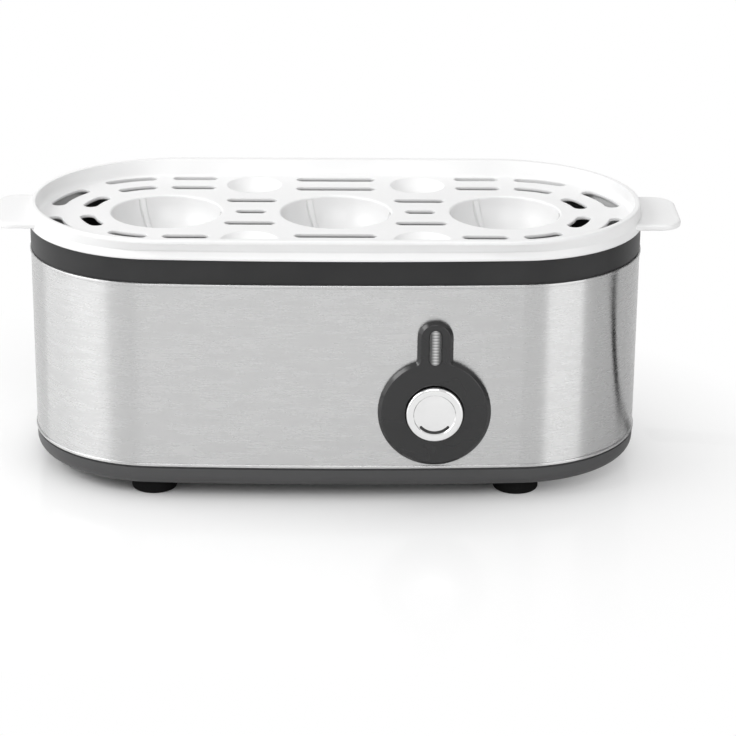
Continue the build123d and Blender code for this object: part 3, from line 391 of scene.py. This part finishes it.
def dress_cad():
    """Give every CAD node the material of its slot, and return the shaders by slot."""
    by_slot = {
        "white_gloss": white_tray(),
        "dark_matte": dark_plastic(),
        "dark_satin": satin_bezel(),
        "brushed_band": brushed_band(),
        "black_rubber": black_rubber(),
        "chrome": chrome(),
        "clear_lens": lens_with_painted_highlight(),
        "neon_glass": neon_glass(),
    }
    for slot, look in moulded_slots.items():
        by_slot[slot] = moulded(slot, *look)
    for slot, look in metal_slots.items():
        by_slot[slot] = drawn_metal(slot, *look)
    for part in frame["record"]["subparts"]:
        mesh = nodes[part["node"]].data
        mesh.materials.clear()
        mesh.materials.append(by_slot[part["material_slot"]].material)
    return by_slot


# Return spring, drawn as a coil in the CAD spring's place

wire_radius = 0.0003
spring_turns = 4
steps_per_turn = 28
wire_sides = 8


def coil_spring(material):
    """A coil in the place of the CAD spring, squeezed against the barrel's back wall."""
    node = nodes["return_spring"]
    corners = [node.matrix_world @ Vector(corner) for corner in node.bound_box]
    low = [min(corner[i] for corner in corners) for i in range(3)]
    high = [max(corner[i] for corner in corners) for i in range(3)]
    middle_x = (low[0] + high[0]) / 2
    middle_z = (low[2] + high[2]) / 2
    coil_radius = (high[2] - low[2]) / 2 - wire_radius
    length = high[1] - low[1] - 2 * wire_radius
    steps = steps_per_turn * spring_turns
    points = []
    for step in range(steps + 1):
        turn = 2 * pi * spring_turns * step / steps
        y = low[1] + wire_radius + length * step / steps
        for side in range(wire_sides):
            around = 2 * pi * side / wire_sides
            reach = coil_radius + wire_radius * cos(around)
            x = middle_x + reach * cos(turn)
            z = middle_z + reach * sin(turn)
            points.append((x, y + wire_radius * sin(around), z))
    first_end = tuple(reversed(range(wire_sides)))
    last_end = tuple(steps * wire_sides + side for side in range(wire_sides))
    faces = [first_end, last_end]
    for step in range(steps):
        near, far = step * wire_sides, (step + 1) * wire_sides
        for side in range(wire_sides):
            after = (side + 1) % wire_sides
            faces.append((near + side, near + after, far + after, far + side))
    piece = add_piece("coil_spring", points, faces, material)
    piece.data.polygons.foreach_set("use_smooth", [True] * len(faces))
    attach(piece, "housing")
    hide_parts("return_spring")
    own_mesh(piece)


# Studio

world_light = 0.5
mirrored_white = 0.8
floor_half_size = 4.0
lamp_aim = (0, 0, 0.05)

# The floor fades to white between these distances, in mm, from a line along x
fade_line_start = (-82, -12, 0)
fade_line_end = (8, -12, 0)
fade_start = 48.0
fade_stop = 165.0

# name, azimuth, height, distance, width and height of the lamp, watts
softboxes = (
    ("key_above", -165, 1.5, 0.4, (1.2, 1.0), 4.2),
    ("front_fill", -5, 1.0, 1.1, (0.8, 0.7), 4.7),
    ("left_box", -82, 0.6, 1.1, (1.81, 1.2), 9.0),
    ("left_spot", -75, 0.75, 1.0, (0.6, 0.45), 3.2),
    ("right_box", 49, 0.42, 1.2, (0.74, 0.85), 3.3),
)


def make_world():
    """Even light, behind which every ray that shows the background sees white."""
    world = bpy.data.worlds.new("studio")
    world.use_nodes = True
    tree = Nodes(world.node_tree)
    light = tree.tree.nodes["Background"]
    light.inputs["Color"].default_value = (1, 1, 1, 1)
    light.inputs["Strength"].default_value = world_light
    rays = tree.node("ShaderNodeLightPath").outputs
    seen = tree.math("MAXIMUM", rays["Is Camera Ray"], rays["Is Glossy Ray"])
    seen = tree.math("MAXIMUM", seen, rays["Is Transmission Ray"])
    white = tree.node("ShaderNodeBackground", Color=(1, 1, 1, 1))
    strength = tree.math(
        "MULTIPLY_ADD", rays["Is Camera Ray"], 1 - mirrored_white, mirrored_white
    )
    tree.join(strength, white.inputs["Strength"])
    surface = tree.mix_surfaces(seen, light.outputs[0], white.outputs[0])
    tree.join(surface, tree.tree.nodes["World Output"].inputs["Surface"])
    scene.world = world


def make_floor():
    """A pale table top that keeps the object's soft shadow and a faint mirror image."""
    shader = Shader("floor")
    shader.set(Base_Color=(0.88, 0.88, 0.88, 1), Roughness=0.12, Specular_IOR_Level=0.1)
    place = shader.position()
    vector_math = "ShaderNodeVectorMath"
    nearest = shader.combine(vector_math, "MAXIMUM", place, fade_line_start)["Vector"]
    nearest = shader.combine(vector_math, "MINIMUM", nearest, fade_line_end)["Vector"]
    far = shader.combine(vector_math, "DISTANCE", place, nearest)["Value"]
    away = shader.between(far, 0.0, 1.0, fade_start, fade_stop)
    rays = shader.node("ShaderNodeLightPath").outputs
    seen = shader.math("MULTIPLY", rays["Is Camera Ray"], away)
    white = shader.node("ShaderNodeEmission")
    surface = shader.mix_surfaces(seen, shader.principled.outputs[0], white.outputs[0])
    shader.join(surface, shader.output.inputs["Surface"])
    half = floor_half_size
    corners = [(-half, -half, 0), (half, -half, 0), (half, half, 0), (-half, half, 0)]
    floor = add_piece("floor", corners, [(0, 1, 2, 3)], shader.material)


def softbox(name, azimuth, height, distance, size, watts):
    """A rectangular lamp that faces the object and doesn't show."""
    data = bpy.data.lights.new(name, "AREA")
    data.shape = "RECTANGLE"
    data.size, data.size_y = size
    data.energy = watts
    lamp = bpy.data.objects.new(name, data)
    place = Vector((*round_object(azimuth, distance), height))
    lamp.location = place
    lamp.rotation_euler = (place - Vector(lamp_aim)).to_track_quat("Z", "Y").to_euler()
    lamp.visible_camera = False
    scene.collection.objects.link(lamp)


def grey_card():
    """A curved upright card that shades the reflections in the band's right end."""
    start, stop = 72, 150
    distance = 1.3
    foot, top = 0.02, 1.2
    steps = 12
    corners = []
    for number in range(steps + 1):
        x, y = round_object(start + (stop - start) * number / steps, distance)
        corners += [(x, y, foot), (x, y, top)]
    shader = Shader("grey_card")
    shader.set(Base_Color=(0.42, 0.42, 0.42, 1), Roughness=0.8)
    piece = add_piece("grey_card", corners, strip_faces(steps + 1), shader.material)
    piece.visible_camera = False


def flag():
    """A narrow dark strip that only reflections show: upright, then in over the floor."""
    reach = 0.1555
    height = 0.16
    upright_steps = 16
    bend_height = 0.055
    floor_steps = 6
    over_floor = 0.0006
    rows = []
    for number in range(upright_steps, 0, -1):
        z = height * number / upright_steps
        bend = max(0.0, 1 - z / bend_height) ** 2
        rows.append((reach, 84.0 + 9.3 * bend, 1.7, z))
    for number in range(floor_steps + 1):
        share = number / floor_steps
        azimuth = 93.5 + 4.9 * share ** 1.3
        rows.append((reach - 0.041 * share, azimuth, 2.0 + 1.2 * share, over_floor))
    corners = []
    for distance, azimuth, half_width, z in rows:
        for side in (azimuth - half_width, azimuth + half_width):
            corners.append((*round_object(side, distance), z))
    shader = Shader("flag")
    shader.set(Base_Color=(0.01, 0.01, 0.01, 1), Roughness=0.8, Specular_IOR_Level=0.1)
    piece = add_piece("flag", corners, strip_faces(len(rows)), shader.material)
    piece.visible_camera = False
    piece.visible_diffuse = False
    piece.visible_shadow = False


make_camera()
make_world()
make_floor()
for box in softboxes:
    softbox(*box)
grey_card()
flag()
coil_spring(dress_cad()["spring_steel"].material)

scene.view_settings.view_transform = "Standard"
